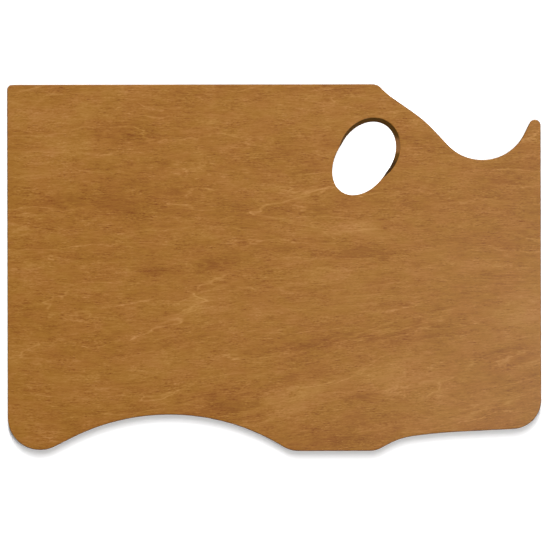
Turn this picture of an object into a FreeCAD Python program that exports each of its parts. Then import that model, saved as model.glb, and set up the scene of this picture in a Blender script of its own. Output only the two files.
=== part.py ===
import FreeCAD, Part
import math
import os

# Hand-held mixing palette: one board of five-ply hardwood plywood, shaped on its edge, with a
# bevelled thumb hole. Millimetres. The origin is on the back face, midway along and across the
# board; +X runs along it, +Y across it towards the edge with the notch, +Z out of the mixing face.

# Board
board_length = 419.0
board_width = 288.0
board_thickness = 6.5
eased_edge = 0.8            # round sanded along the outer edges, front and back
eased_hole_edge = 0.4       # the same round the thumb hole

# Veneers and the glue between them
face_veneer = 1.1
glue_line = 0.1
inner_veneer = (board_thickness - 2 * face_veneer - 4 * glue_line) / 3

# Thumb hole: a straight oval hole, opened towards its upper end by a raked oval cut on which
# the thumb lies. Each oval is (centre x, centre y, half length, half width).
hole_tilt = 56.5            # of every oval's length, in degrees from +X
straight_oval = (69.6, 84.1, 29.6, 20.7)
rake_oval_back = (73.0, 89.4, 26.7, 20.8)
rake_oval_front = (75.0, 91.8, 26.9, 23.0)

touching = 1e-6             # two heights nearer than this are one

half_length = board_length / 2
half_width = board_width / 2

# The outline, anticlockwise: a straight-sided shape whose corners are rounded by arcs.
# Each corner is (x, y, radius of its arc).
outline_corners = [
    (-half_length, half_width, 4.0),        # square end, notch side
    (-half_length, -158.5, 25.5),           # foot, square end, arm side
    (-74.5, -91.0, 171.0),                  # long bay for the arm
    (12.5, -half_width, 24.0),              # flat stretch between the bay and the step
    (79.5, -half_width, 18.5),
    (98.5, -134.0, 55.0),                   # shallow step up to the arm side's edge
    (126.5, -130.0, 395.0),
    (half_length, -126.0, 23.0),            # rounded end, arm side
    (half_length, 130.5, 4.5),              # horn
    (173.0, 57.0, 37.0),                    # notch for fingers and brushes
    (118.5, 115.5, 104.5),                  # slope down into the notch
    (88.5, 136.5, 60.0),
    (81.5, half_width, 8.5),                # shoulder
]


def toward(start, end, distance):
    """The point at a distance from start along the straight line to end."""
    direction = end.sub(start)
    return start.add(direction.multiply(distance / direction.Length))


def rounded_wire(corners):
    """A closed wire of straight sides joined by an arc at each corner."""
    points = [FreeCAD.Vector(x, y, 0) for x, y, radius in corners]
    edges = []
    last_end = None
    first_start = None
    for index, corner in enumerate(corners):
        here = points[index]
        before = points[index - 1]
        after = points[(index + 1) % len(points)]
        radius = corner[2]
        inside_angle = before.sub(here).getAngle(after.sub(here))
        tangent_length = radius / math.tan(inside_angle / 2)
        start = toward(here, before, tangent_length)
        end = toward(here, after, tangent_length)
        to_centre = radius / math.sin(inside_angle / 2)
        centre = toward(here, start.add(end).multiply(0.5), to_centre)
        middle = toward(centre, here, radius)
        if last_end is None:
            first_start = start
        else:
            edges.append(Part.LineSegment(last_end, start).toShape())
        edges.append(Part.Arc(start, middle, end).toShape())
        last_end = end
    edges.append(Part.LineSegment(last_end, first_start).toShape())
    return Part.Wire(edges)


def oval_wire(oval, height):
    """An ellipse at the hole's tilt, in the plane at a height."""
    x, y, half_long, half_short = oval
    ellipse = Part.Ellipse(FreeCAD.Vector(0, 0, 0), half_long, half_short).toShape()
    wire = Part.Wire([ellipse])
    wire.rotate(FreeCAD.Vector(0, 0, 0), FreeCAD.Vector(0, 0, 1), hole_tilt)
    wire.translate(FreeCAD.Vector(x, y, height))
    return wire


def straight_cut():
    face = Part.Face(oval_wire(straight_oval, 0))
    return face.extrude(FreeCAD.Vector(0, 0, board_thickness))


def raked_cut():
    back = oval_wire(rake_oval_back, 0)
    front = oval_wire(rake_oval_front, board_thickness)
    return Part.makeLoft([back, front], True, True)


def face_edges(solid, region):
    """Edges that lie in the front or the back face, with their middles inside a region."""
    found = []
    for edge in solid.Edges:
        box = edge.BoundBox
        flat = box.ZLength < touching
        on_face = min(abs(box.ZMin), abs(box.ZMin - board_thickness)) < touching
        if flat and on_face and region.isInside(box.Center):
            found.append(edge)
    return found


def blank_board():
    face = Part.Face(rounded_wire(outline_corners))
    board = face.extrude(FreeCAD.Vector(0, 0, board_thickness))
    return board.makeFillet(eased_edge, face_edges(board, board.BoundBox))


def with_thumb_hole(board):
    hole = straight_cut().fuse(raked_cut())
    cut_board = board.cut(hole)
    return cut_board.makeFillet(eased_hole_edge, face_edges(cut_board, hole.BoundBox))


def layer(board, low, high):
    """The slice of the board between two heights."""
    size = 2 * board_length
    slab = Part.makeBox(size, size, high - low, FreeCAD.Vector(-size / 2, -size / 2, low))
    return board.common(slab)


# The layers from the back face up: (name, thickness)
layers = [
    ("back_face_veneer", face_veneer),
    ("back_face_glue_line", glue_line),
    ("back_crossband", inner_veneer),
    ("back_core_glue_line", glue_line),
    ("core_veneer", inner_veneer),
    ("front_core_glue_line", glue_line),
    ("front_crossband", inner_veneer),
    ("front_face_glue_line", glue_line),
    ("front_face_veneer", face_veneer),
]


def main():
    os.makedirs("parts", exist_ok=True)
    board = with_thumb_hole(blank_board())
    low = 0.0
    for name, thickness in layers:
        high = low + thickness
        shape = layer(board, low, high)
        shape.exportStep("parts/" + name + ".step")
        print(name, "solids", len(shape.Solids), "volume", round(shape.Volume, 1))
        low = high


main()
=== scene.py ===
import math

import bpy
import numpy as np
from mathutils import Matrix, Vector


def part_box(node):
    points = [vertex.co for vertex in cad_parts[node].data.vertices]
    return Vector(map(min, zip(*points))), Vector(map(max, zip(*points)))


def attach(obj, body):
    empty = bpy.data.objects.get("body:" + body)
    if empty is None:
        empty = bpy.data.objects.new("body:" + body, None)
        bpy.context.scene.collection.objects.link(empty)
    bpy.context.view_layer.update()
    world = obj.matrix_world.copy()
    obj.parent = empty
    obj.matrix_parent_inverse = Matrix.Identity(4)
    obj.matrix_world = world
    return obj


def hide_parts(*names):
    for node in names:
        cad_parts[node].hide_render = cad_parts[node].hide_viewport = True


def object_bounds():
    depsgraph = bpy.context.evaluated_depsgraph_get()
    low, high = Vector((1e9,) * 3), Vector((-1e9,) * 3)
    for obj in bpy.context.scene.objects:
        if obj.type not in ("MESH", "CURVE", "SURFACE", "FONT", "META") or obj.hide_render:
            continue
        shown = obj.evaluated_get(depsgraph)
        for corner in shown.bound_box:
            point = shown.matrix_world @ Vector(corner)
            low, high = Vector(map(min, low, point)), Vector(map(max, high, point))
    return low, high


# Hand-held mixing palette: five veneers and the glue between them, each rebuilt as a fine mesh
# with procedural wood. Shapes are worked out in millimetres and stored in metres.

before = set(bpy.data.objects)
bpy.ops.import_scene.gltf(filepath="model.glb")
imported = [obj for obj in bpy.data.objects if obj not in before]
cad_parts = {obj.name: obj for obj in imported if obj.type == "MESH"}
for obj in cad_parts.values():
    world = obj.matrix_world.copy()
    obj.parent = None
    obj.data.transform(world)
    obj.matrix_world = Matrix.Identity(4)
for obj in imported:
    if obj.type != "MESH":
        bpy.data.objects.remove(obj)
cadLow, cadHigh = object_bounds()
millimetre = 0.001
boardThickness = (cadHigh.z - cadLow.z) / millimetre
halfLength = (cadHigh.x - cadLow.x) / 2 / millimetre
halfWidth = (cadHigh.y - cadLow.y) / 2 / millimetre
print("frame loaded:", len(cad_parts), "layers, board", round(boardThickness, 2), "mm thick")

outlineSettings = {
    # corners anticlockwise from the square end: x, y, radius of the arc that rounds it
    "corners": [
        (-halfLength, halfWidth, 4.0),
        (-halfLength, -158.5, 25.5),
        (-74.5, -91.0, 171.0),
        (12.5, -halfWidth, 24.0),
        (79.5, -halfWidth, 18.5),
        (98.5, -134.0, 55.0),
        (126.5, -130.0, 395.0),
        (halfLength, -126.0, 23.0),
        (halfLength, 130.5, 4.5),
        (173.0, 57.0, 37.0),
        (118.5, 115.5, 104.5),
        (88.5, 136.5, 60.0),
        (81.5, halfWidth, 8.5),
    ],
    "armSideCorners": [1, 2, 3, 4, 5, 6, 7],        # left to right
    "notchSideCorners": [8, 9, 10, 11, 12, 0],      # right to left
    "stepsPerArc": 600,
}


# Each row divided by its own length.
def unitRows(rows):
    return rows / np.linalg.norm(rows, axis=-1, keepdims=True)


# Each corner's arc has its centre on the corner's bisector, radius / sin(half angle) away, and
# runs between the two points where the straight sides touch it.
def roundedCorners(settings):
    corners = np.array(settings["corners"])
    points, radius = corners[:, :2], corners[:, 2:]
    toBefore = unitRows(np.roll(points, 1, axis=0) - points)
    toAfter = unitRows(np.roll(points, -1, axis=0) - points)
    halfAngle = np.arccos((toBefore * toAfter).sum(axis=1, keepdims=True)) / 2
    centres = points + unitRows(toBefore + toAfter) * radius / np.sin(halfAngle)
    start = points + toBefore * radius / np.tan(halfAngle) - centres
    end = points + toAfter * radius / np.tan(halfAngle) - centres
    startAngle = np.arctan2(start[:, 1], start[:, 0])
    turn = np.arctan2(end[:, 1], end[:, 0]) - startAngle
    turn = (turn + math.pi) % (2 * math.pi) - math.pi
    share = np.linspace(0, 1, settings["stepsPerArc"])
    angle = startAngle[:, None] + turn[:, None] * share
    radial = np.stack([np.cos(angle), np.sin(angle)], axis=-1)
    places = centres[:, None] + radius[:, None] * radial
    outward = radial * np.sign(turn)[:, None, None]
    return places, outward


arcPlaces, arcOutward = roundedCorners(outlineSettings)


# A long edge of the board, left to right: the arcs of its corners joined end to end.
def longEdge(corners, leftToRight):
    places, outward = (part[corners].reshape(-1, 2) for part in (arcPlaces, arcOutward))
    step = 1 if leftToRight else -1
    return places[::step], outward[::step]


armSide = longEdge(outlineSettings["armSideCorners"], True)
notchSide = longEdge(outlineSettings["notchSideCorners"], False)


# Places on a long edge at columns x, moved inwards by inset, with the outward direction there.
def edgeAt(edge, x, inset):
    places, outward = edge
    moved = places - outward * inset
    y = np.interp(x, moved[:, 0], moved[:, 1])
    direction = np.stack([np.interp(x, moved[:, 0], outward[:, k]) for k in (0, 1)], axis=-1)
    return np.stack([x, y], axis=-1), unitRows(direction)


holeSettings = {
    # ovals: centre x, centre y, half length, half width
    "straight": (69.6, 84.1, 29.6, 20.7),
    "rakedBack": (73.0, 89.4, 26.7, 20.8),
    "rakedFront": (75.0, 91.8, 26.9, 23.0),
    "tilt": math.radians(56.5),
    "easedEdge": 0.4,
}


# Places from start to end, crowded towards both ends like the cosine of an angle.
def crowded(start, end, count):
    return start + (end - start) * (1 - np.cos(np.linspace(0, math.pi, count))) / 2


# The raked oval's centre and half sizes run evenly from the back face to the front face.
def ovalsAt(height, grow):
    back, front = np.array(holeSettings["rakedBack"]), np.array(holeSettings["rakedFront"])
    raked = back + (front - back) * height / boardThickness
    widen = np.array([0, 0, grow, grow])
    return np.array(holeSettings["straight"]) + widen, raked + widen


# A tilted oval's reach to each side of its centre: the length of its half sizes seen along x.
def ovalEnds(oval):
    tilt = holeSettings["tilt"]
    reach = math.hypot(oval[2] * math.cos(tilt), oval[3] * math.sin(tilt))
    return oval[0] - reach, oval[0] + reach


# A tilted oval is a quadratic in y for each x: its two roots are the oval's two sides there.
def ovalSides(oval, x):
    centreX, centreY, halfLong, halfShort = oval
    cosTilt, sinTilt = math.cos(holeSettings["tilt"]), math.sin(holeSettings["tilt"])
    along = x - centreX
    square = sinTilt ** 2 / halfLong ** 2 + cosTilt ** 2 / halfShort ** 2
    linear = 2 * along * sinTilt * cosTilt * (1 / halfLong ** 2 - 1 / halfShort ** 2)
    constant = along ** 2 * (cosTilt ** 2 / halfLong ** 2 + sinTilt ** 2 / halfShort ** 2) - 1
    inside = linear ** 2 - 4 * square * constant
    middle = centreY - linear / (2 * square)
    reach = np.sqrt(np.clip(inside, 0, None)) / (2 * square)
    missed = inside < -1e-9         # this column passes beside the oval
    return np.where(missed, np.inf, middle - reach), np.where(missed, -np.inf, middle + reach)


# The hole is the two ovals together: the lower of their lower sides and the higher of their
# upper sides, at columns from the hole's left end to its right end.
def holeSides(height, grow, columns):
    ovals = ovalsAt(height, grow)
    ends = [ovalEnds(oval) for oval in ovals]
    x = crowded(min(end[0] for end in ends), max(end[1] for end in ends), columns)
    lows, highs = zip(*[ovalSides(oval, x) for oval in ovals])
    low, high = np.minimum(*lows), np.maximum(*highs)
    return np.stack([x, low], axis=-1), np.stack([x, high], axis=-1)


meshSettings = {
    "leftColumns": 260,
    "holeColumns": 110,
    "rightColumns": 160,
    "seamLeftEnd": 0.0,         # where the seam through the hole meets the two ends, in y
    "seamRightEnd": 30.0,
    "roundSteps": 8,
    "wallSteps": 6,
    "cutEdgeLevel": 0.75,       # a face is cut edge where its normal's height is below this
    "sharpAngle": 40.0,         # degrees; a sharper fold is shaded as a crease
    "easedEdge": 0.8,
}


# Columns of one flat face: the edges' places above and below each one, and the seam between,
# which splits into the hole's two sides where it crosses the hole.
def faceColumns(inset, height, grow):
    lowSide, highSide = holeSides(height, grow, meshSettings["holeColumns"])
    end = halfLength - inset
    left = crowded(-end, lowSide[0, 0], meshSettings["leftColumns"])
    right = crowded(lowSide[-1, 0], end, meshSettings["rightColumns"])
    leftSeam = np.interp(left, [-end, lowSide[0, 0]], [meshSettings["seamLeftEnd"], lowSide[0, 1]])
    rightSeam = np.interp(right, [lowSide[-1, 0], end], [lowSide[-1, 1], meshSettings["seamRightEnd"]])
    x = np.concatenate([left[:-1], lowSide[:, 0], right[1:]])
    seamLow = np.concatenate([leftSeam[:-1], lowSide[:, 1], rightSeam[1:]])
    seamHigh = np.concatenate([leftSeam[:-1], highSide[:, 1], rightSeam[1:]])
    return x, np.stack([x, seamLow], axis=-1), np.stack([x, seamHigh], axis=-1)


# Insets and heights of a cut edge, from its top to its bottom: a quarter round at each eased
# edge, and between them a shallow hollow, deepest half way like a sine.
def edgeProfile(low, high, topRound, bottomRound, hollow):
    quarter = np.linspace(0, math.pi / 2, meshSettings["roundSteps"])
    share = np.linspace(0, 1, meshSettings["wallSteps"])
    wallHigh, wallLow = high - topRound, low + bottomRound
    insets = [hollow * np.sin(math.pi * share)]
    heights = [wallHigh + (wallLow - wallHigh) * share]
    if topRound:
        insets.insert(0, topRound * (1 - np.sin(quarter))[:-1])
        heights.insert(0, (high - topRound * (1 - np.cos(quarter)))[:-1])
    if bottomRound:
        insets.append(bottomRound * (1 - np.cos(quarter))[1:])
        heights.append((wallLow - bottomRound * np.sin(quarter))[1:])
    return np.concatenate(insets), np.concatenate(heights)


# Rows of points run straight from one line of points to another, crowded towards both.
def rowsBetween(first, last, rows):
    share = crowded(0, 1, rows)[:, None, None]
    return first + (last - first) * share


# Two grids' point numbers, from the arm side to the seam and from the seam to the notch side.
# They share the seam's points, apart from those along the hole.
def faceNumbers(start, rows, columns, holeFirst, holeLast):
    lower = start + np.arange(rows * columns).reshape(rows, columns)
    upper = lower[-1:] + np.zeros((rows, 1), int)
    upper[1:] = lower[-1, -1] + 1 + np.arange((rows - 1) * columns).reshape(rows - 1, columns)
    split = holeLast - holeFirst - 1
    upper[0, holeFirst + 1:holeLast] = upper[-1, -1] + 1 + np.arange(split)
    return lower, upper


# One quad for each square of a grid of point numbers, turned over where flipped.
def gridQuads(numbers, flipped):
    a, b, c, d = numbers[:-1, :-1], numbers[:-1, 1:], numbers[1:, 1:], numbers[1:, :-1]
    corners = [a, d, c, b] if flipped else [a, b, c, d]
    return np.stack(corners, axis=-1).reshape(-1, 4)


# The rim of a face, anticlockwise: along the arm side, up the right end, back along the notch
# side and down the left end.
def rimOf(lower, upper):
    return np.concatenate([
        lower[0], lower[1:, -1], upper[1:, -1], upper[-1, -2::-1], upper[-2::-1, 0], lower[-2:0:-1, 0],
    ])


# The rim of the hole: along its lower side from left to right and back along its upper side.
def holeRimOf(lower, upper, holeFirst, holeLast):
    return np.concatenate([lower[-1, holeFirst:holeLast + 1], upper[0, holeLast - 1:holeFirst:-1]])


# One layer: a flat top and a flat bottom of two grids each, a cut edge whose profile is carried
# round the outline, and a wall round the hole. Points are shared, so the shell is closed.
def layerPiece(name, low, high, settings):
    topRound = meshSettings["easedEdge"] if settings["face"] == "front" else 0
    bottomRound = meshSettings["easedEdge"] if settings["face"] == "back" else 0
    holeTop = holeSettings["easedEdge"] if settings["face"] == "front" else 0
    holeBottom = holeSettings["easedEdge"] if settings["face"] == "back" else 0
    insets, heights = edgeProfile(low, high, topRound, bottomRound, settings["hollow"])
    grows, holeHeights = edgeProfile(low, high, holeTop, holeBottom, settings["hollow"])
    rows, columns = settings["rows"], meshSettings["holeColumns"]
    holeFirst = meshSettings["leftColumns"] - 1
    holeLast = holeFirst + columns - 1

    x, seamLow, seamHigh = faceColumns(insets[0], high, grows[0])
    armPlaces, armOutward = edgeAt(armSide, x, insets[0])
    notchPlaces, notchOutward = edgeAt(notchSide, x, insets[0])
    lower, upper = faceNumbers(0, rows, len(x), holeFirst, holeLast)
    pointCount = upper[0, holeLast - 1] + 1
    bottomLower, bottomUpper = lower + pointCount, upper + pointCount
    places = np.zeros((2 * pointCount, 3))
    places[:pointCount, 2] = high
    places[pointCount:, 2] = low
    places[lower, :2] = rowsBetween(armPlaces, seamLow, rows)
    places[upper, :2] = rowsBetween(seamHigh, notchPlaces, rows)
    _, bottomSeamLow, bottomSeamHigh = faceColumns(insets[-1], low, grows[-1])
    shift = insets[0] - insets[-1]
    places[bottomLower, :2] = rowsBetween(armPlaces + armOutward * shift, bottomSeamLow, rows)
    places[bottomUpper, :2] = rowsBetween(bottomSeamHigh, notchPlaces + notchOutward * shift, rows)

    # cut edge round the outline
    outward = np.zeros((pointCount, 2))
    outward[lower[:, 0]] = outward[upper[:, 0]] = (-1, 0)
    outward[lower[:, -1]] = outward[upper[:, -1]] = (1, 0)
    outward[lower[0]] = armOutward
    outward[upper[-1]] = notchOutward
    rim, bottomRim = rimOf(lower, upper), rimOf(bottomLower, bottomUpper)
    moved = places[rim, :2] + outward[rim] * (insets[0] - insets[1:-1, None, None])
    ringHeights = np.broadcast_to(heights[1:-1, None, None], (*moved.shape[:2], 1))
    rings = np.concatenate([moved, ringHeights], axis=-1)
    wall = len(places) + np.arange(moved.shape[0] * len(rim)).reshape(-1, len(rim))
    wall = np.vstack([rim, wall, bottomRim])

    # wall round the hole
    holeRim = holeRimOf(lower, upper, holeFirst, holeLast)
    bottomHoleRim = holeRimOf(bottomLower, bottomUpper, holeFirst, holeLast)
    holeRings = []
    for grow, height in zip(grows[1:-1], holeHeights[1:-1]):
        lowSide, highSide = holeSides(height, grow, columns)
        ring = np.concatenate([lowSide, highSide[-2:0:-1]])
        holeRings.append(np.column_stack([ring, np.full(len(ring), height)]))
    holeStart = len(places) + len(rings) * len(rim)
    holeWall = holeStart + np.arange(len(holeRings) * len(holeRim)).reshape(-1, len(holeRim))
    holeWall = np.vstack([holeRim, holeWall, bottomHoleRim])

    places = np.concatenate([places, rings.reshape(-1, 3), *holeRings])
    closedWall = np.column_stack([wall, wall[:, 0]])
    closedHole = np.column_stack([holeWall, holeWall[:, 0]])
    quads = np.concatenate([
        gridQuads(lower, False), gridQuads(upper, False),
        gridQuads(bottomLower, True), gridQuads(bottomUpper, True),
        gridQuads(closedWall, True), gridQuads(closedHole, False),
    ])
    return meshPiece(name, places * millimetre, quads)


# The points and quads as one smooth-shaded object at the origin, its places already in the mesh.
def meshPiece(name, places, quads):
    mesh = bpy.data.meshes.new(name)
    mesh.vertices.add(len(places))
    mesh.vertices.foreach_set("co", places.astype(np.float32).ravel())
    mesh.loops.add(quads.size)
    mesh.loops.foreach_set("vertex_index", quads.astype(np.int32).ravel())
    mesh.polygons.add(len(quads))
    mesh.polygons.foreach_set("loop_start", np.arange(0, quads.size, 4, dtype=np.int32))
    mesh.polygons.foreach_set("use_smooth", np.ones(len(quads), bool))
    mesh.update(calc_edges=True)
    mesh.validate()
    mesh.set_sharp_from_angle(angle=math.radians(meshSettings["sharpAngle"]))
    # slot 0 holds the flat faces and slot 1 the cut edges, which start part way round the easing
    normals = np.empty(len(quads) * 3, np.float32)
    mesh.polygons.foreach_get("normal", normals)
    steep = np.abs(normals[2::3]) < meshSettings["cutEdgeLevel"]
    mesh.polygons.foreach_set("material_index", steep.astype(np.int32))
    piece = bpy.data.objects.new(name, mesh)
    bpy.context.scene.collection.objects.link(piece)
    return piece


# Adds a node, sets its settings, and fills its sockets with values or links.
def addNode(tree, kind, sockets, **settings):
    made = tree.nodes.new(kind)
    for key, value in settings.items():
        setattr(made, key, value)
    for key, value in sockets.items():
        if isinstance(value, bpy.types.NodeSocket):
            tree.links.new(value, made.inputs[key])
        else:
            made.inputs[key].default_value = value
    return made


def calc(tree, operation, *values):
    return addNode(tree, "ShaderNodeMath", dict(enumerate(values)), operation=operation).outputs[0]


def vectorCalc(tree, operation, *values):
    return addNode(tree, "ShaderNodeVectorMath", dict(enumerate(values)), operation=operation)


def total(tree, *values):
    result = values[0]
    for value in values[1:]:
        result = calc(tree, "ADD", result, value)
    return result


def joined(tree, x, y, z=0.0):
    return addNode(tree, "ShaderNodeCombineXYZ", {"X": x, "Y": y, "Z": z}).outputs[0]


def split(tree, vector):
    return addNode(tree, "ShaderNodeSeparateXYZ", {"Vector": vector}).outputs


# Smooth step from 0 at start to 1 at end.
def fade(tree, value, start, end):
    sockets = {"Value": value, "From Min": start, "From Max": end}
    return addNode(tree, "ShaderNodeMapRange", sockets, interpolation_type="SMOOTHSTEP").outputs[0]


# Noise about 0 that mostly stays between -1 and 1.
def noise(tree, place, detail=2.0):
    made = addNode(tree, "ShaderNodeTexNoise", {"Vector": place, "Scale": 1.0, "Detail": detail})
    return calc(tree, "MULTIPLY_ADD", made.outputs[0], 3.2, -1.6)


# A node group with named inputs and outputs; an input's default says if it is a vector.
def nodeGroup(name, inputs, outputs):
    group = bpy.data.node_groups.new(name, "ShaderNodeTree")
    for key, default in inputs.items():
        kind = "NodeSocketVector" if isinstance(default, tuple) else "NodeSocketFloat"
        group.interface.new_socket(name=key, in_out="INPUT", socket_type=kind).default_value = default
    for key in outputs:
        group.interface.new_socket(name=key, in_out="OUTPUT", socket_type="NodeSocketFloat")
    return group, group.nodes.new("NodeGroupInput").outputs, group.nodes.new("NodeGroupOutput").inputs


def placeGroup(tree, group, sockets):
    return addNode(tree, "ShaderNodeGroup", sockets, node_tree=group).outputs


flowSettings = {
    "levelAbove": 45.0,             # in y: the grain is level above this and swept below the next
    "sweptBelow": -75.0,
    "riseStart": -120.0,            # in x: the sweep starts about here, blended over riseBlend
    "riseBlend": 80.0,
    "wander": (130.0, 40.0),        # length and height of the slow wander
}


# How the grain runs: level over most of the face, and rising to the right in the arm side's half.
# Across = y - rise + a slow wander, where rise grows with x and with how low the place is.
def makeFlowGroup():
    inputs = {"Place": (0.0, 0.0, 0.0), "Sweep": 0.25, "Wander": 3.0, "Seed": 0.0}
    group, source, target = nodeGroup("grain flow", inputs, ["Along", "Across"])
    x, y, _ = split(group, source["Place"])
    lowness = fade(group, y, flowSettings["levelAbove"], flowSettings["sweptBelow"])
    ramp = calc(group, "SMOOTH_MAX", calc(group, "SUBTRACT", x, flowSettings["riseStart"]), 0.0,
                flowSettings["riseBlend"])
    rise = calc(group, "MULTIPLY", calc(group, "MULTIPLY", lowness, ramp), source["Sweep"])
    length, height = flowSettings["wander"]
    slow = joined(group, calc(group, "DIVIDE", x, length), calc(group, "DIVIDE", y, height), source["Seed"])
    wander = calc(group, "MULTIPLY", noise(group, slow), source["Wander"])
    across = calc(group, "ADD", calc(group, "SUBTRACT", y, rise), wander)
    group.links.new(x, target["Along"])
    group.links.new(across, target["Across"])
    return group


# Streaks of a given length and width along the grain: noise on a stretched place.
def makeFibreGroup():
    inputs = {"Along": 0.0, "Across": 0.0, "Length": 4.0, "Width": 0.8, "Seed": 0.0}
    group, source, target = nodeGroup("fibres", inputs, ["Tone"])
    place = joined(group, calc(group, "DIVIDE", source["Along"], source["Length"]),
                   calc(group, "DIVIDE", source["Across"], source["Width"]), source["Seed"])
    group.links.new(noise(group, place, 1.5), target["Tone"])
    return group


ringSettings = {
    # noise: length, width, seed offset, amount
    "bend": (120.0, 26.0, 1.0, 1.0),        # these three move the rings, in shares of their spacing
    "wideJag": (26.0, 7.0, 3.0, 0.22),
    "fineJag": (7.0, 1.6, 5.0, 0.09),
    "strength": (80.0, 24.0, 9.0, 1.0),     # where the rings are clear
    # places across a ring: it rises from the first to the second, and falls from the fourth to
    # the third
    "line": (0.0, 0.03, 0.10, 0.03),
    "shade": (0.1, 0.2, 0.75, 0.2),
}


# Growth rings of a peeled veneer: each ring is where a slowly wandering height passes a whole
# number. Line is the thin pale line there and Shade the soft dark band beside it.
def makeRingGroup():
    inputs = {"Along": 0.0, "Across": 0.0, "Spacing": 14.0, "Jag": 1.0, "Seed": 0.0}
    group, source, target = nodeGroup("growth rings", inputs, ["Line", "Shade"])

    def stretched(key):
        length, width, offset, amount = ringSettings[key]
        tone = noise(group, joined(group, calc(group, "DIVIDE", source["Along"], length),
                                   calc(group, "DIVIDE", source["Across"], width),
                                   calc(group, "ADD", source["Seed"], offset)))
        return calc(group, "MULTIPLY", tone, amount)

    # 1 between two places across a ring, and 0 beyond them
    def between(key):
        riseStart, riseEnd, fallEnd, fallStart = ringSettings[key]
        return calc(group, "MULTIPLY", fade(group, phase, riseStart, riseEnd),
                    fade(group, phase, fallEnd, fallStart))

    jagged = total(group, stretched("wideJag"), stretched("fineJag"))
    jagged = calc(group, "MULTIPLY", source["Jag"], jagged)
    height = total(group, calc(group, "DIVIDE", source["Across"], source["Spacing"]),
                   stretched("bend"), jagged)
    phase = calc(group, "FRACT", height)
    line, shade = between("line"), between("shade")
    strength = fade(group, stretched("strength"), -0.5, 0.7)
    group.links.new(calc(group, "MULTIPLY", line, strength), target["Line"])
    group.links.new(calc(group, "MULTIPLY", shade, strength), target["Shade"])
    return group


# A soft cloud in the figure: tone times exp(-d * d), where d is the place's distance from the
# centre, in half lengths along the tilt and half heights across it.
def makeCloudGroup():
    inputs = {"Place": (0.0, 0.0, 0.0), "Centre": (0.0, 0.0, 0.0), "Half Length": 30.0,
              "Half Height": 8.0, "Tilt": 0.0, "Tone": 1.0}
    group, source, target = nodeGroup("figure cloud", inputs, ["Tone"])
    away = vectorCalc(group, "SUBTRACT", source["Place"], source["Centre"]).outputs[0]
    turned = addNode(group, "ShaderNodeVectorRotate",
                     {"Vector": away, "Angle": calc(group, "MULTIPLY", source["Tilt"], -1.0)},
                     rotation_type="Z_AXIS").outputs[0]
    x, y, _ = split(group, turned)
    along = calc(group, "POWER", calc(group, "DIVIDE", x, source["Half Length"]), 2.0)
    across = calc(group, "POWER", calc(group, "DIVIDE", y, source["Half Height"]), 2.0)
    falloff = calc(group, "EXPONENT", calc(group, "MULTIPLY", calc(group, "ADD", along, across), -1.0))
    group.links.new(calc(group, "MULTIPLY", falloff, source["Tone"]), target["Tone"])
    return group


# A single ring line drawn from start to end: tone times exp(-(d / width) squared), where d is
# the distance to the straight line between them.
def makeStrokeGroup():
    inputs = {"Place": (0.0, 0.0, 0.0), "Start": (0.0, 0.0, 0.0), "End": (1.0, 0.0, 0.0),
              "Width": 1.0, "Tone": 1.0}
    group, source, target = nodeGroup("figure stroke", inputs, ["Tone"])
    away = vectorCalc(group, "SUBTRACT", source["Place"], source["Start"]).outputs[0]
    run = vectorCalc(group, "SUBTRACT", source["End"], source["Start"]).outputs[0]
    share = calc(group, "DIVIDE", vectorCalc(group, "DOT_PRODUCT", away, run).outputs["Value"],
                 vectorCalc(group, "DOT_PRODUCT", run, run).outputs["Value"])
    held = addNode(group, "ShaderNodeClamp", {"Value": share}).outputs[0]
    nearest = addNode(group, "ShaderNodeVectorMath", {0: run, "Scale": held}, operation="SCALE").outputs[0]
    distance = vectorCalc(group, "DISTANCE", away, nearest).outputs["Value"]
    ratio = calc(group, "POWER", calc(group, "DIVIDE", distance, source["Width"]), 2.0)
    falloff = calc(group, "EXPONENT", calc(group, "MULTIPLY", ratio, -1.0))
    group.links.new(calc(group, "MULTIPLY", falloff, source["Tone"]), target["Tone"])
    return group


sawnSettings = {
    "streak": (7.0, 7.0, 0.16),     # size along x, y and z of a streak, and of a pore
    "pore": (0.45, 0.45, 0.3),
    "edgeLevels": (0.93, 0.60),     # the normal's height where the cut edge starts and is whole
    "endLevels": (0.25, 0.85),      # how squarely the fibres are cut where end grain does so
}


# The sawn and sanded edge. Edge is 1 where the surface faces sideways, End Grain is how squarely
# it cuts the fibres, and Tone is fine streaks that lie along the edge, or pores on end grain.
def makeCutEdgeGroup():
    inputs = {"Place": (0.0, 0.0, 0.0), "Normal": (0.0, 0.0, 1.0), "Grain": (1.0, 0.0, 0.0), "Seed": 0.0}
    group, source, target = nodeGroup("cut edge", inputs, ["Edge", "End Grain", "Tone"])
    level = calc(group, "ABSOLUTE", split(group, source["Normal"])[2])
    facing = vectorCalc(group, "DOT_PRODUCT", source["Normal"], source["Grain"]).outputs["Value"]
    endGrain = fade(group, calc(group, "ABSOLUTE", facing), *sawnSettings["endLevels"])
    x, y, z = split(group, source["Place"])

    # noise on a place divided by the pattern's size
    def sized(key):
        sizeX, sizeY, sizeZ = sawnSettings[key]
        shifted = calc(group, "ADD", calc(group, "DIVIDE", x, sizeX), source["Seed"])
        return noise(group, joined(group, shifted, calc(group, "DIVIDE", y, sizeY),
                                   calc(group, "DIVIDE", z, sizeZ)))

    tone = addNode(group, "ShaderNodeMix", {"Factor": endGrain, "A": sized("streak"), "B": sized("pore")},
                   data_type="FLOAT").outputs[0]
    group.links.new(fade(group, level, *sawnSettings["edgeLevels"]), target["Edge"])
    group.links.new(endGrain, target["End Grain"])
    group.links.new(tone, target["Tone"])
    return group


flowGroup, fibreGroup, ringGroup = makeFlowGroup(), makeFibreGroup(), makeRingGroup()
cloudGroup, strokeGroup, cutEdgeGroup = makeCloudGroup(), makeStrokeGroup(), makeCutEdgeGroup()
print("node groups made")


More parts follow.
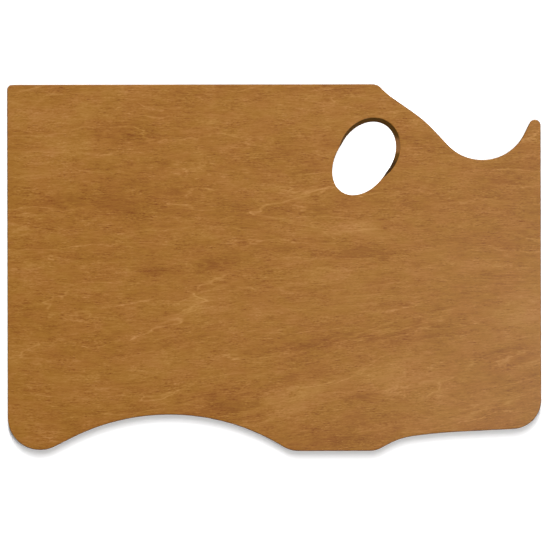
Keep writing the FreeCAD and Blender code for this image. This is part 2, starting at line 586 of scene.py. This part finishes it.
# Tone -2 is the darkest wood and 2 the palest; the colours between run straight.
woodColours = [(0.141, 0.032, 0.002), (0.257, 0.103, 0.015), (0.371, 0.174, 0.052)]

figureSettings = {
    "front": {
        "seed": 0.0,
        "sweep": 0.21,
        "wander": 3.0,
        "spacing": 15.0,
        "jag": 1.0,
        # soft clouds: centre x, y, half length, half height, tilt in degrees, tone
        "clouds": [
            (-160, 120, 30, 10, 4, 0.7),
            (-159, 94, 22, 7, 0, 0.4),
            (-122, 105, 22, 6, -4, -0.6),
            (-118, 45, 26, 8, -6, -0.6),
            (-165, 52, 20, 5, 0, -0.4),
            (-48, 3, 16, 5, 5, -0.8),
            (-95, -3, 14, 5, 0, -0.9),
            (-61, -29, 16, 8, 12, 0.8),
            (68, 30, 18, 5, -5, 1.0),
            (42, -8, 26, 10, 4, 0.6),
            (80, 10, 26, 5, -4, -0.7),
            (30, -61, 26, 5, 12, -0.9),
            (-36, -109, 18, 10, 10, -0.7),
            (20, -101, 30, 11, 14, 0.7),
            (98, -86, 32, 8, 8, 0.6),
            (72, -101, 12, 3, 5, -0.8),
            (56, -136, 40, 7, 2, -0.7),
            (178, -66, 22, 5, 16, -0.5),
            (195, -38, 18, 8, 12, 0.5),
            (46, 140, 34, 5, 0, -0.5),
        ],
        # single ring lines: start x, y, end x, y, tone
        "strokes": [
            (-109, 129, -103, 126, 0.9),
            (-103, 126, -86, 124, 0.7),
            (-80, 50, -52, 45, 0.7),
            (-18, 43, -6, 49, 1.0),
            (-6, 49, 26, 56, 0.8),
            (-18, 43, 34, 31, 0.5),
            (-209, 42, -180, 42, 0.6),
            (-182, -32, -169, -22, 0.9),
            (-169, -22, -158, -18, 0.6),
            (-110, -56, -96, -49, 0.9),
            (-96, -49, -74, -40, 1.0),
            (-60, -16, -36, -5, 0.8),
            (-69, -18, -54, -26, 1.0),
            (-54, -26, -72, -34, 0.7),
            (-204, -71, -186, -59, 0.7),
            (7, -70, 98, -41, 0.5),
            (54, -59, 138, -38, 0.6),
            (120, -101, 138, -87, 0.8),
            (128, -124, 192, -104, 0.6),
            (30, 35, 48, 22, 0.6),
        ],
    },
    "back": {
        "seed": 40.0,
        "sweep": -0.12,
        "wander": 6.0,
        "spacing": 17.0,
        "jag": 0.8,
        "clouds": [],
        "strokes": [],
    },
}

edgeSettings = {
    "side": [(0.090, 0.038, 0.010), (0.180, 0.080, 0.023)],     # dark and pale streaks
    "end": [(0.052, 0.021, 0.006), (0.125, 0.053, 0.015)],
    "hole": [(0.073, 0.031, 0.003), (0.120, 0.052, 0.005)],
    "holeCentre": (73.0, 88.0, 0.0),
    "holeReach": (40.0, 38.0),      # the stain ends between these distances from the centre
    # spots on the hole's wall, laid in this order: centre, radius, colour
    "spots": [
        ((92.0, 76.0, 0.0), 11.0, (0.034, 0.014, 0.001)),       # darker spot at the hole's lower right
        ((97.0, 96.0, 0.0), 7.0, (0.238, 0.106, 0.034)),        # painted highlight on the wall's right side
    ],
}

# streaks in the figure: length, width, strength, and the seed offset that makes each its own
fibreSettings = {
    "short": (2.4, 0.6, 0.75, 12.0),
    "long": (9.0, 0.62, 1.8, 11.0),
    "gate": (2.2, 1.1, 1.0, 15.0),              # breaks the long fibres up
    "band": (9.0, 1.6, 0.52, 13.0),
    "pore": (6.0, 0.55, 1.0, 31.0),
    "fleck": (4.5, 0.5, 1.0, 41.0),
    "liveliness": (22.0, 9.0, 1.0, 37.0),       # where the fine grain is stronger
    "smallPatch": (20.0, 7.0, 0.42, 17.0),
    "broadPatch": (75.0, 36.0, 0.5, 19.0),
    "pushAlong": (20.0, 6.0, 9.0, 23.0),        # millimetres that clouds and strokes are pushed
    "pushAcross": (18.0, 4.0, 2.2, 29.0),
}

toneSettings = {
    "levelSweep": 0.3,          # the fine grain's sweep, as a share of the rings' own
    "leastLively": 0.45,        # strength of the fine grain where it is weakest
    "pores": 1.5,               # strength on plain wood; dark patches hold stronger ones
    "flecks": 1.7,              # strength on plain wood; pale patches hold stronger ones
    "response": 1.8,            # how much a patch's tone changes those two
    "faintest": 0.2,
    "dashLevels": (0.55, 0.9),  # the noise that starts a pore or fleck, and that makes it whole
    "patch": 0.95,
    "ringLine": 1.5,
    "ringShade": -0.3,
    "stroke": 1.4,
    "strokeWidth": 0.8,
}

finishSettings = {
    "faceGloss": 0.18,
    "faceRoughness": 0.38,
    "fibreRoughness": 0.02,         # added where a fibre is pale
    "cutRoughness": 0.4,            # added where the easing turns into the cut edge
    "coat": 0.05,
    "coatRoughness": 0.3,
    "fibreRelief": (0.3, 0.00003),  # strength and height in metres
    "greenTint": (0.975, 1.025, 0.86, 1.0),
    "greenPatch": (24.0, 13.0, 1.0),
    "edgeGloss": 0.02,
    "edgeRoughness": 0.83,
    "edgeRelief": (0.4, 0.00005),
    "glueGloss": 0.15,
    "glueRoughness": 0.7,
    "glueColours": [(0.016, 0.007, 0.003), (0.045, 0.019, 0.007)],
}


# Object coordinates in millimetres, and the surface's direction in the board's frame.
def boardPlace(tree):
    source = addNode(tree, "ShaderNodeTexCoord", {}).outputs
    place = addNode(tree, "ShaderNodeMapping", {"Vector": source["Object"],
                                                "Scale": (1 / millimetre,) * 3}).outputs[0]
    return place, source["Normal"]


# The place with its height left out, so that a pattern lies flat in the face.
def flattened(tree, place):
    return vectorCalc(tree, "MULTIPLY", place, (1.0, 1.0, 0.0)).outputs[0]


# The first colour where share is 0, the second where it is 1, and a straight mix between. The
# node's sockets 0, 6 and 7 are the share and the two colours.
def mixColours(tree, share, first, second):
    made = addNode(tree, "ShaderNodeMix", {}, data_type="RGBA")
    for key, value in ((0, share), (6, first), (7, second)):
        if isinstance(value, bpy.types.NodeSocket):
            tree.links.new(value, made.inputs[key])
        else:
            made.inputs[key].default_value = (*value, 1.0) if isinstance(value, tuple) else value
    return made.outputs[2]


# The face's figure as one tone, a sum: fine fibres, dark pores and pale flecks, soft patches,
# growth rings and single ring lines. Clouds and strokes are set on a place that is pushed about
# a little, so that their outlines are uneven. The fine grain stays nearly level, and the patches
# and rings follow the sweep. The second result is the fine fibres alone.
def figureTone(tree, place, figure):
    seed = figure["seed"]
    flow = placeGroup(tree, flowGroup, {"Place": place, "Sweep": figure["sweep"],
                                        "Wander": figure["wander"], "Seed": seed})
    levelSweep = figure["sweep"] * toneSettings["levelSweep"]
    level = placeGroup(tree, flowGroup, {"Place": place, "Sweep": levelSweep,
                                         "Wander": figure["wander"], "Seed": seed})

    def fibres(way, key):
        length, width, amount, offset = fibreSettings[key]
        tone = placeGroup(tree, fibreGroup, {"Along": way["Along"], "Across": way["Across"],
                                             "Length": length, "Width": width,
                                             "Seed": seed + offset})["Tone"]
        return calc(tree, "MULTIPLY", tone, amount)

    # short dashes, stronger where the patch is paler if lean is 1, or darker if it is -1
    def dashes(key, amount, lean):
        spots = fade(tree, fibres(level, key), *toneSettings["dashLevels"])
        wanted = calc(tree, "MULTIPLY_ADD", patch, lean * toneSettings["response"], amount)
        return calc(tree, "MULTIPLY", spots, calc(tree, "MAXIMUM", wanted, toneSettings["faintest"]))

    push = joined(tree, fibres(flow, "pushAlong"), fibres(flow, "pushAcross"))
    pushed = vectorCalc(tree, "ADD", place, push).outputs[0]
    patches = [fibres(flow, "smallPatch"), fibres(flow, "broadPatch")]
    for x, y, halfLong, halfHigh, tilt, tone in figure["clouds"]:
        patches.append(placeGroup(tree, cloudGroup, {
            "Place": pushed, "Centre": (x, y, 0.0), "Half Length": halfLong, "Half Height": halfHigh,
            "Tilt": math.radians(tilt), "Tone": tone})["Tone"])
    patch = total(tree, *patches)

    # dark patches hold stronger dark pores, and pale ones stronger pale flecks
    liveliness = calc(tree, "ADD", fade(tree, fibres(flow, "liveliness"), -0.7, 0.7),
                      toneSettings["leastLively"])
    specks = calc(tree, "SUBTRACT", dashes("fleck", toneSettings["flecks"], 1.0),
                  dashes("pore", toneSettings["pores"], -1.0))
    gate = fade(tree, fibres(level, "gate"), -0.4, 0.4)
    long = calc(tree, "MULTIPLY", fibres(level, "long"), gate)
    fine = calc(tree, "MULTIPLY", calc(tree, "ADD", fibres(level, "short"), long), liveliness)
    rings = placeGroup(tree, ringGroup, {"Along": flow["Along"], "Across": flow["Across"],
                                         "Spacing": figure["spacing"], "Jag": figure["jag"],
                                         "Seed": seed})
    parts = [
        fine,
        calc(tree, "MULTIPLY", specks, liveliness),
        calc(tree, "MULTIPLY", patch, toneSettings["patch"]),
        fibres(level, "band"),
        calc(tree, "MULTIPLY", rings["Line"], toneSettings["ringLine"]),
        calc(tree, "MULTIPLY", rings["Shade"], toneSettings["ringShade"]),
    ]
    for startX, startY, endX, endY, tone in figure["strokes"]:
        parts.append(placeGroup(tree, strokeGroup, {
            "Place": pushed, "Start": (startX, startY, 0.0), "End": (endX, endY, 0.0),
            "Width": toneSettings["strokeWidth"], "Tone": tone * toneSettings["stroke"]})["Tone"])
    return total(tree, *parts), fine


# The cut edge's colour: streaks on long grain, darker on end grain, and the thumb hole's own dark stain,
# with a darker spot at its lower right and a painted highlight on its right side.
def cutColour(tree, place, cut):
    streak = fade(tree, cut["Tone"], -0.8, 0.8)
    side = mixColours(tree, streak, *edgeSettings["side"])
    end = mixColours(tree, streak, *edgeSettings["end"])
    hole = mixColours(tree, streak, *edgeSettings["hole"])
    # first a darker spot at the hole's lower right, then a painted highlight on the wall's right side
    for centre, radius, colour in edgeSettings["spots"]:
        share = placeGroup(tree, cloudGroup, {"Place": place, "Centre": centre,
                                              "Half Length": radius, "Half Height": radius})["Tone"]
        hole = mixColours(tree, fade(tree, share, 0.3, 0.7), hole, colour)
    away = vectorCalc(tree, "DISTANCE", flattened(tree, place), edgeSettings["holeCentre"]).outputs["Value"]
    inHole = fade(tree, away, *edgeSettings["holeReach"])
    return mixColours(tree, inHole, mixColours(tree, cut["End Grain"], side, end), hole)


def newMaterial(name, gloss):
    material = bpy.data.materials.new(name)
    material.use_nodes = True
    tree = material.node_tree
    shader = tree.nodes["Principled BSDF"]
    shader.inputs["Specular IOR Level"].default_value = gloss
    return material, tree, shader


# Fine relief whose height follows a tone.
def addRelief(tree, shader, tone, relief):
    strength, height = relief
    bump = addNode(tree, "ShaderNodeBump", {"Height": tone, "Strength": strength, "Distance": height})
    tree.links.new(bump.outputs[0], shader.inputs["Normal"])


# The stained and oiled face of a veneer, turning into its cut edge where the easing rolls over.
def faceMaterial(name, grain, figure):
    material, tree, shader = newMaterial(name, finishSettings["faceGloss"])
    place, normal = boardPlace(tree)
    flat = flattened(tree, place)
    tone, fine = figureTone(tree, flat, figure)
    ramp = addNode(tree, "ShaderNodeValToRGB", {0: calc(tree, "MULTIPLY_ADD", tone, 0.25, 0.5)})
    stops = ramp.color_ramp.elements
    stops.new(0.5)
    for stop, colour in zip(stops, woodColours):
        stop.color = (*colour, 1.0)
    # the stain took a little greener in some places
    blotches = vectorCalc(tree, "DIVIDE", flat, finishSettings["greenPatch"]).outputs[0]
    blotches = vectorCalc(tree, "ADD", blotches, (0.0, 0.0, figure["seed"])).outputs[0]
    green = fade(tree, noise(tree, blotches), -0.5, 0.5)
    hued = addNode(tree, "ShaderNodeMix", {0: green, 6: ramp.outputs[0], 7: finishSettings["greenTint"]},
                   data_type="RGBA", blend_type="MULTIPLY").outputs[2]
    cut = placeGroup(tree, cutEdgeGroup, {"Place": place, "Normal": normal, "Grain": grain,
                                          "Seed": figure["seed"]})
    colour = mixColours(tree, cut["Edge"], hued, cutColour(tree, place, cut))
    tree.links.new(colour, shader.inputs["Base Color"])
    rough = calc(tree, "MULTIPLY_ADD", fine, finishSettings["fibreRoughness"],
                 finishSettings["faceRoughness"])
    rough = calc(tree, "MULTIPLY_ADD", cut["Edge"], finishSettings["cutRoughness"], rough)
    tree.links.new(rough, shader.inputs["Roughness"])
    coat = calc(tree, "MULTIPLY_ADD", cut["Edge"], -finishSettings["coat"], finishSettings["coat"])
    tree.links.new(coat, shader.inputs["Coat Weight"])
    shader.inputs["Coat Roughness"].default_value = finishSettings["coatRoughness"]
    addRelief(tree, shader, fine, finishSettings["fibreRelief"])
    return material


# The sawn, sanded and stained edge of a veneer, with no gloss to speak of.
def cutMaterial(name, grain, seed):
    material, tree, shader = newMaterial(name, finishSettings["edgeGloss"])
    place, normal = boardPlace(tree)
    cut = placeGroup(tree, cutEdgeGroup, {"Place": place, "Normal": normal, "Grain": grain, "Seed": seed})
    tree.links.new(cutColour(tree, place, cut), shader.inputs["Base Color"])
    rough = calc(tree, "MULTIPLY_ADD", cut["Tone"], 0.04, finishSettings["edgeRoughness"])
    tree.links.new(rough, shader.inputs["Roughness"])
    addRelief(tree, shader, cut["Tone"], finishSettings["edgeRelief"])
    return material


# Dark cured resin, a little paler in some beads.
def glueMaterial():
    material, tree, shader = newMaterial("glue line", finishSettings["glueGloss"])
    place, _ = boardPlace(tree)
    beads = vectorCalc(tree, "MULTIPLY", place, (0.6, 0.6, 4.0)).outputs[0]
    share = fade(tree, noise(tree, beads), -1.0, 1.0)
    colour = mixColours(tree, share, *finishSettings["glueColours"])
    tree.links.new(colour, shader.inputs["Base Color"])
    shader.inputs["Roughness"].default_value = finishSettings["glueRoughness"]
    return material


alongGrain, crossGrain = (1.0, 0.0, 0.0), (0.0, 1.0, 0.0)
innerFigure = {"seed": 90.0, "sweep": 0.05, "wander": 5.0, "spacing": 22.0, "jag": 0.7,
               "clouds": [], "strokes": []}
materials = {"glue": [glueMaterial()] * 2}
for name, grain, figure in (
    ("front face", alongGrain, figureSettings["front"]),
    ("back face", alongGrain, figureSettings["back"]),
    ("core", alongGrain, innerFigure),
    ("crossband", crossGrain, {**innerFigure, "seed": 70.0}),
):
    materials[name] = [faceMaterial(name + " wood", grain, figure),
                       cutMaterial(name + " cut edge", grain, figure["seed"])]
print("materials made:", ", ".join(materials))

veneerHollow = 0.03         # a veneer's cut edge sinks this much between its glue lines
faceRows, innerRows, glueRows = 18, 8, 4
# layer, piece name, material, slot, which outer face it is, rows of the grids, hollow
layers = [
    ("front_face_veneer", "front_face_wood", "front face", "face_veneer", "front", faceRows, veneerHollow),
    ("front_face_glue_line", "front_face_glue", "glue", "glue", None, glueRows, 0.0),
    ("front_crossband", "front_crossband_wood", "crossband", "inner_veneer", None, innerRows, veneerHollow),
    ("front_core_glue_line", "front_core_glue", "glue", "glue", None, glueRows, 0.0),
    ("core_veneer", "core_wood", "core", "inner_veneer", None, innerRows, veneerHollow),
    ("back_core_glue_line", "back_core_glue", "glue", "glue", None, glueRows, 0.0),
    ("back_crossband", "back_crossband_wood", "crossband", "inner_veneer", None, innerRows, veneerHollow),
    ("back_face_glue_line", "back_face_glue", "glue", "glue", None, glueRows, 0.0),
    ("back_face_veneer", "back_face_wood", "back face", "face_veneer", "back", faceRows, veneerHollow),
]
for node, name, finish, slot, face, rows, hollow in layers:
    low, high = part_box(node)
    piece = layerPiece(name, low.z / millimetre, high.z / millimetre,
                       {"face": face, "rows": rows, "hollow": hollow})
    for material in materials[finish]:
        piece.data.materials.append(material)
    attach(piece, "root")
    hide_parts(node)
    print(name, "made with", len(piece.data.polygons), "faces")


stageSettings = {
    "floorSize": 12.0,
    "floorDrop": 0.0002,            # keeps the floor just clear of the back face
    "floorColour": (0.90, 0.90, 0.90),
    "floorRoughness": 0.9,
    "floorGlow": 0.18,              # a lit table: its own light keeps the shadow pale
    "paintedLightGlow": 0.5,                # painted light: extra glow of the floor under the thumb hole, which pales the shadow there
    "paintedLightCentre": (0.073, 0.088, 0.0),
    "paintedLightReach": (0.12, 0.03),      # its glow grows from the first distance to the second
    "frameWidth": 0.4318,           # what the camera sees across, at the board
    "lens": 250.0,
    "aim": (0.00063, -0.00577),
    "roll": 0.12,                   # degrees
}

# each light: elevation and azimuth in degrees, distance in metres, half angles it fills across
# and up, in degrees, share of the light that a white floor gives back, whether it shows in gloss
lightSettings = {
    "window low": (38.0, 92.0, 6.0, (6.0, 12.4), 0.60, False),
    "window high": (60.0, 88.0, 6.0, (6.0, 12.4), 0.36, True),
    "right panel": (70.0, -22.0, 1.7, (9.0, 9.0), 0.28, True),
}
skySettings = {
    "level": 0.25,
    "overhead": 0.10,
    "overheadHeights": (0.6, 0.95),     # upward share of a direction where it starts and is whole
}


# A white floor that glows a little, and more in a round spot of painted light under the thumb hole, which
# pales the shadow there.
def makeFloor():
    half = stageSettings["floorSize"] / 2
    drop = -stageSettings["floorDrop"]
    mesh = bpy.data.meshes.new("floor")
    mesh.from_pydata([(-half, -half, drop), (half, -half, drop), (half, half, drop), (-half, half, drop)],
                     [], [(0, 1, 2, 3)])
    floor = bpy.data.objects.new("floor", mesh)
    bpy.context.scene.collection.objects.link(floor)
    material, tree, shader = newMaterial("pale floor", 0.0)
    shader.inputs["Base Color"].default_value = (*stageSettings["floorColour"], 1.0)
    shader.inputs["Roughness"].default_value = stageSettings["floorRoughness"]
    shader.inputs["Emission Color"].default_value = (1.0, 1.0, 1.0, 1.0)
    place = addNode(tree, "ShaderNodeTexCoord", {}).outputs["Object"]
    away = vectorCalc(tree, "DISTANCE", place, stageSettings["paintedLightCentre"]).outputs["Value"]
    # painted light: the floor glows more in a round spot under the thumb hole
    paintedLightPatch = fade(tree, away, *stageSettings["paintedLightReach"])
    glow = calc(tree, "MULTIPLY_ADD", paintedLightPatch, stageSettings["paintedLightGlow"], stageSettings["floorGlow"])
    tree.links.new(glow, shader.inputs["Emission Strength"])
    mesh.materials.append(material)


# An oval area light turned to face the board. Its power is pi squared times the share times the
# distance squared, over the sine of the elevation.
def softLight(name, elevation, azimuth, distance, halfAngles, share, inGloss):
    climb, turn = math.radians(elevation), math.radians(azimuth)
    data = bpy.data.lights.new(name, "AREA")
    data.shape = "ELLIPSE"
    data.size, data.size_y = (2 * distance * math.tan(math.radians(angle)) for angle in halfAngles)
    data.energy = math.pi ** 2 * share * distance ** 2 / math.sin(climb)
    light = bpy.data.objects.new(name, data)
    bpy.context.scene.collection.objects.link(light)
    light.location = (distance * math.cos(climb) * math.cos(turn),
                      distance * math.cos(climb) * math.sin(turn), distance * math.sin(climb))
    light.rotation_euler = (-light.location).to_track_quat("-Z", "Y").to_euler()
    light.visible_glossy = inGloss


# A white sky that is dimmer straight overhead, where the camera hangs.
def makeSky():
    scene = bpy.context.scene
    scene.world = bpy.data.worlds.new("studio")
    scene.world.use_nodes = True
    tree = scene.world.node_tree
    upward = split(tree, addNode(tree, "ShaderNodeTexCoord", {}).outputs["Generated"])[2]
    overhead = fade(tree, upward, *skySettings["overheadHeights"])
    level = addNode(tree, "ShaderNodeMix", {0: overhead, 2: skySettings["level"],
                                            3: skySettings["overhead"]}).outputs[0]
    background = tree.nodes["Background"]
    background.inputs["Color"].default_value = (1.0, 1.0, 1.0, 1.0)
    tree.links.new(level, background.inputs["Strength"])


# Straight above the aim, at the height from which the lens sees frameWidth across the board.
def makeCamera():
    data = bpy.data.cameras.new("camera")
    data.lens = stageSettings["lens"]
    camera = bpy.data.objects.new("camera", data)
    bpy.context.scene.collection.objects.link(camera)
    height = data.lens / data.sensor_width * stageSettings["frameWidth"] + cadHigh.z
    camera.location = (*stageSettings["aim"], height)
    camera.rotation_euler = (0, 0, -math.radians(stageSettings["roll"]))
    data.clip_end = 50.0        # metres
    bpy.context.scene.camera = camera


makeFloor()
for name, numbers in lightSettings.items():
    softLight(name, *numbers)
makeSky()
makeCamera()
bpy.context.scene.view_settings.view_transform = "Standard"
print("stage, lights and camera placed")
